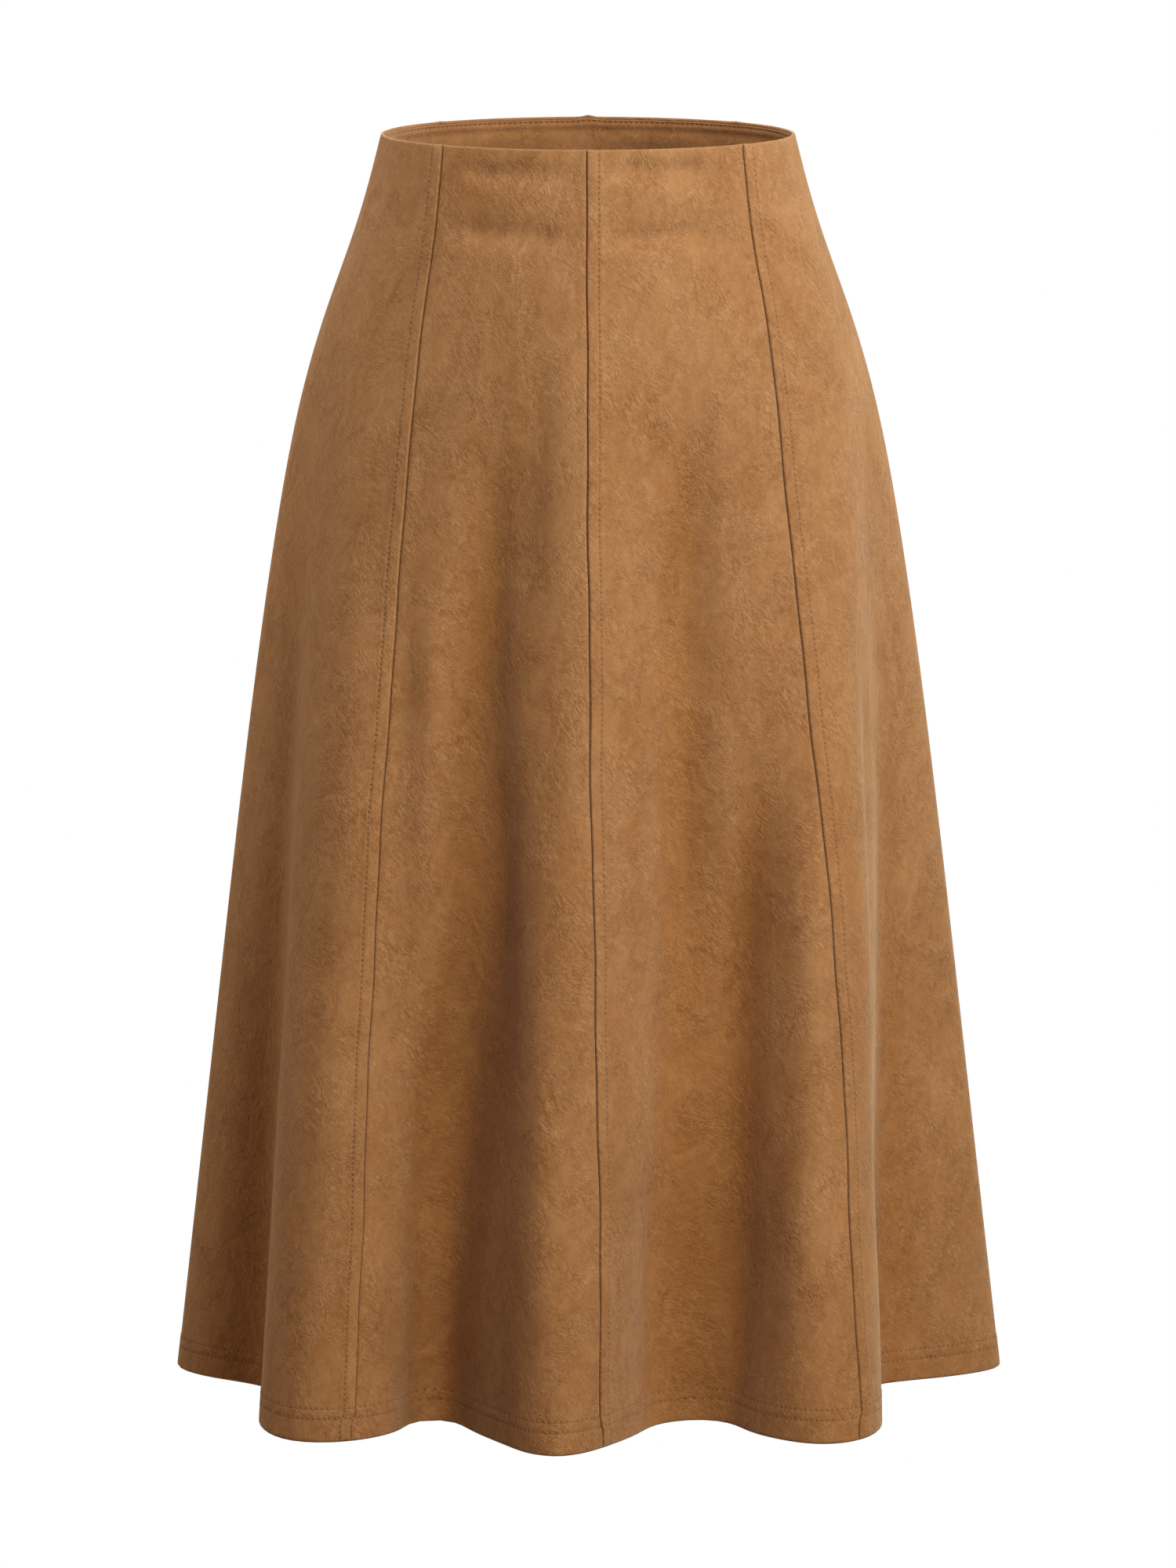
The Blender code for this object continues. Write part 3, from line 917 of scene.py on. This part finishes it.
def suede(name, lines):
    """Brushed faux suede: short streaks of nap, blotches where it lies differently, and paler top and hem
    edges.
    Its colour also takes painted shade in the fold hollows, the seam grooves and the needle holes.

    lines are the (line, phase) attributes of the rows of stitches on it.
    """
    tree = Tree(name)
    clouds = tree.noise((44.0, 82.0), turn=8.0, detail=3.0, roughness=0.55, distortion=0.7, seed=0.3)
    patches = tree.noise((15.0, 24.0), turn=-12.0, detail=3.0, roughness=0.6, distortion=0.9, seed=0.9)
    blotches = tree.noise((4.2, 6.0), detail=3.0, roughness=0.6, distortion=0.6, seed=1.7)
    specks = tree.noise((0.9, 1.3), detail=2.0, roughness=0.7, seed=2.3)
    bent = tree.noise((34.0, 40.0), detail=1.0, seed=4.1)
    nap_lies = tree.noise((1.5, 4.2), turn=34.0, detail=2.0, roughness=0.55, distortion=0.9, seed=3.1)
    nap_crossed = tree.noise((1.4, 3.4), turn=56.0, detail=2.0, roughness=0.55, distortion=1.2, seed=5.3)
    nap = tree.mix(tree.spread(bent, 0.40, 0.60), nap_lies, nap_crossed)
    nap = tree.spread(nap, 0.30, 0.70)
    brushed = tree.noise((26.0, 30.0), detail=2.0, roughness=0.6, seed=6.7)
    brushed = tree.spread(brushed, 0.36, 0.60, 0.35, 1.0)

    tone = tree.math("MULTIPLY_ADD", clouds, CLOUD_SHARE, 0.5 - CLOUD_SHARE / 2.0)
    for layer, share in ((patches, PATCH_SHARE), (blotches, BLOTCH_SHARE), (specks, SPECK_SHARE)):
        tone = tree.math("MULTIPLY_ADD", tree.math("SUBTRACT", layer, 0.5), share, tone)
    streak = tree.math("MULTIPLY", tree.math("SUBTRACT", nap, 0.5), brushed)
    tone = tree.math("MULTIPLY_ADD", streak, NAP_SHARE, tone)
    colour = tree.mix(tone, DEEP, PALE)
    warm = tree.noise((21.0, 60.0), turn=5.0, detail=3.0, roughness=0.6, distortion=1.0, seed=7.9)
    warm = tree.spread(warm, 0.46, 0.74)
    colour = tree.mix(tree.math("MULTIPLY", warm, WARM_SHARE), colour, ORANGE)
    # paler along the top and hem edges
    colour = tree.mix(tree.math("MULTIPLY", tree.attribute("rubbed"), PALER_EDGE_SHARE), colour, PALE)

    # painted shade in the fold hollows and towards the hem
    deepened = tree.math("MULTIPLY", tree.attribute("deepened"), PAINTED_SHADE_SHARE)
    colour = tree.mix(deepened, colour, PAINTED_SHADE_TINT, blend="MULTIPLY")

    inside = tree.attribute("inside")
    colour = tree.mix(tree.math("MULTIPLY", inside, INSIDE_SHARE), colour, DEEP)
    # painted shade in the seam grooves and in the needle holes between the stitches
    shade_marks = tree.math("MULTIPLY", tree.attribute("groove"), GROOVE_SHADE_SHARE)
    for line, phase in lines:
        holes = tree.math("MULTIPLY", tree.needle_holes(line, phase), NEEDLE_SHADE_SHARE)
        shade_marks = tree.math("MAXIMUM", shade_marks, holes)
    colour = tree.mix(shade_marks, colour, SHADE_MARK)
    tree.put(tree.shader.inputs["Base Color"], colour)

    roughness = tree.math("MULTIPLY_ADD", tone, -0.16, 0.96)
    tree.put(tree.shader.inputs["Roughness"], roughness)
    tree.shader.inputs["Specular IOR Level"].default_value = 0.18
    tree.shader.inputs["Sheen Weight"].default_value = SHEEN
    tree.shader.inputs["Sheen Roughness"].default_value = 0.45
    tree.shader.inputs["Sheen Tint"].default_value = SHEEN_TINT

    height = tree.math("MULTIPLY", tree.math("MULTIPLY", nap, brushed), NAP_RISE)
    for layer, rise in ((specks, SPECK_RISE), (blotches, BLOTCH_RISE), (shade_marks, MARK_RISE)):
        height = tree.math("MULTIPLY_ADD", layer, rise, height)
    normal = tree.bump(height, NAP_BUMP)
    normal = tree.bump(patches, PATCH_BUMP, 0.6, normal)
    tree.put(tree.shader.inputs["Normal"], normal)
    return tree.material


def thread(name, colour):
    """Spun thread, finely mottled by its plies, which also raise it."""
    material = bpy.data.materials.new(name)
    material.use_nodes = True
    nodes, links = material.node_tree.nodes, material.node_tree.links
    shader = nodes["Principled BSDF"]
    place = nodes.new("ShaderNodeTexCoord")
    plies = nodes.new("ShaderNodeTexNoise")
    plies.inputs["Scale"].default_value = THREAD_CELLS
    plies.inputs["Detail"].default_value = 2.0
    links.new(place.outputs["Object"], plies.inputs["Vector"])
    tint = nodes.new("ShaderNodeMix")
    tint.data_type = "RGBA"
    links.new(plies.outputs["Fac"], tint.inputs[0])
    tint.inputs[6].default_value = [share * 0.6 for share in colour[:3]] + [1.0]
    tint.inputs[7].default_value = [min(1.0, share * 1.5) for share in colour[:3]] + [1.0]
    links.new(tint.outputs[2], shader.inputs["Base Color"])
    ridge = nodes.new("ShaderNodeBump")
    ridge.inputs["Distance"].default_value = 0.08 * MM
    links.new(plies.outputs["Fac"], ridge.inputs["Height"])
    links.new(ridge.outputs["Normal"], shader.inputs["Normal"])
    shader.inputs["Roughness"].default_value = 0.62
    shader.inputs["Sheen Weight"].default_value = 0.05
    return material


# ---------------------------------------------------------------- stage, light and camera
def camera():
    """Straight in front, a little above the waist, looking down at the middle of the skirt."""
    data = bpy.data.cameras.new("camera")
    data.lens = LENS
    data.sensor_width = SENSOR
    data.clip_end = CAMERA_FAR
    thing = placed("camera", data)
    thing.location = (0.0, -CAMERA_AWAY, CAMERA_Z)
    thing.rotation_euler = Euler((math.radians(90.0 - CAMERA_TILT), 0.0, 0.0))
    bpy.context.scene.camera = thing


def softbox(name, turn, rise, away, target_z, size, power, colour):
    """A soft lamp aimed at the skirt's axis, turn and rise being degrees from straight in front."""
    data = bpy.data.lights.new(name, "AREA")
    data.shape = "RECTANGLE"
    data.size, data.size_y = size
    data.energy = power
    data.color = colour
    thing = placed(name, data)
    turn, rise = math.radians(turn), math.radians(rise)
    towards = Vector((math.sin(turn) * math.cos(rise), -math.cos(turn) * math.cos(rise), math.sin(rise)))
    thing.location = Vector((0.0, 0.0, target_z)) + away * towards
    thing.rotation_euler = (-towards).to_track_quat("-Z", "Y").to_euler()


def studio():
    """A low warm light from all round. The camera sees it as white."""
    world = bpy.data.worlds.new("studio")
    world.use_nodes = True
    tree = world.node_tree
    path = tree.nodes.new("ShaderNodeLightPath")
    seen = tree.nodes.new("ShaderNodeMix")
    seen.data_type = "RGBA"
    seen.inputs[6].default_value = STUDIO_GLOW
    seen.inputs[7].default_value = BACKDROP
    tree.links.new(path.outputs["Is Camera Ray"], seen.inputs[0])
    tree.links.new(seen.outputs[2], tree.nodes["Background"].inputs["Color"])
    bpy.context.scene.world = world


def floor():
    """A pale floor, well below the hem. It is grey to the lights and white to the camera."""
    mesh = bpy.data.meshes.new("floor")
    half = FLOOR_HALF
    z = cad_low.z - FLOOR_DROP
    corners = [(-half, -half, z), (half, -half, z), (half, half, z), (-half, half, z)]
    mesh.from_pydata(corners, [], [(0, 1, 2, 3)])
    thing = placed("floor", mesh)
    material = bpy.data.materials.new("floor")
    material.use_nodes = True
    tree = material.node_tree
    paint = tree.nodes["Principled BSDF"]
    paint.inputs["Base Color"].default_value = FLOOR_GREY
    paint.inputs["Roughness"].default_value = 0.9
    glow = tree.nodes.new("ShaderNodeEmission")
    seen = tree.nodes.new("ShaderNodeMixShader")
    path = tree.nodes.new("ShaderNodeLightPath")
    tree.links.new(path.outputs["Is Camera Ray"], seen.inputs["Fac"])
    tree.links.new(paint.outputs["BSDF"], seen.inputs[1])
    tree.links.new(glow.outputs["Emission"], seen.inputs[2])
    tree.links.new(seen.outputs["Shader"], tree.nodes["Material Output"].inputs["Surface"])
    thing.data.materials.append(material)


# ---------------------------------------------------------------- the skirt
def flat_cut(angle_from, angle_to, top=0.0, foot=1.0):
    """Width, length and area of a piece laid flat, from the creased surface between two seams and levels."""
    rows = []
    for level in np.linspace(top, foot, FLAT_ROWS):
        angle = np.linspace(angle_from(level), angle_to(level), FLAT_COLUMNS)
        rows.append(cloth_face(angle, np.full(FLAT_COLUMNS, level))[0])
    rows = np.array(rows)
    widths = np.linalg.norm(np.diff(rows, axis=1), axis=-1).sum(axis=1)
    steps = np.linalg.norm(np.diff(rows, axis=0), axis=-1).mean(axis=1)
    area = float((0.5 * (widths[:-1] + widths[1:]) * steps).sum())
    return float(widths.max()), float(steps.sum()), area


outside = suede(SUEDE, (("seam_line", "seam_phase"), ("hem_line", "hem_phase")))
facing_cloth = suede(SUEDE_INSIDE, (("hem_line", "hem_phase"),))
thread_tan = thread(THREAD, THREAD_TAN)

for number, node in enumerate(GORES):
    shell = gore_shell(number, outside)
    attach(shell, "root")
    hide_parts(node)
    width, length, area = flat_cut(seam_at[number], seam_at[number + 1])

for index, node in enumerate(FACINGS):
    shell = facing_shell(index, facing_cloth)
    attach(shell, "root")
    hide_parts(node)
    first = index * GORES_PER_FACING
    width, length, area = flat_cut(
        seam_at[first], seam_at[first + GORES_PER_FACING], FACING_TOP / LENGTH, FACING_DEPTH / LENGTH
    )

sewn = {
    "topstitching": [seam_row(number) for number, side in enumerate(TOPSTITCHED) if side],
    "hem_stitching": [hem_row(number, row, False) for number in range(len(GORES)) for row in HEM_ROWS],
    "hem_stitching_inside": [hem_row(number, row, True) for number in range(len(GORES)) for row in HEM_ROWS],
    "understitching": [
        (line[0], line[1], line[3]) for line in (understitch_line(index) for index in range(len(FACINGS)))
    ],
}
for name, rows in sewn.items():
    piece = stitches(name, rows, thread_tan)
    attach(piece, "root")

bpy.context.scene.view_settings.view_transform = "Standard"
camera()
for lamp in LIGHTS:
    softbox(*lamp)
studio()
floor()
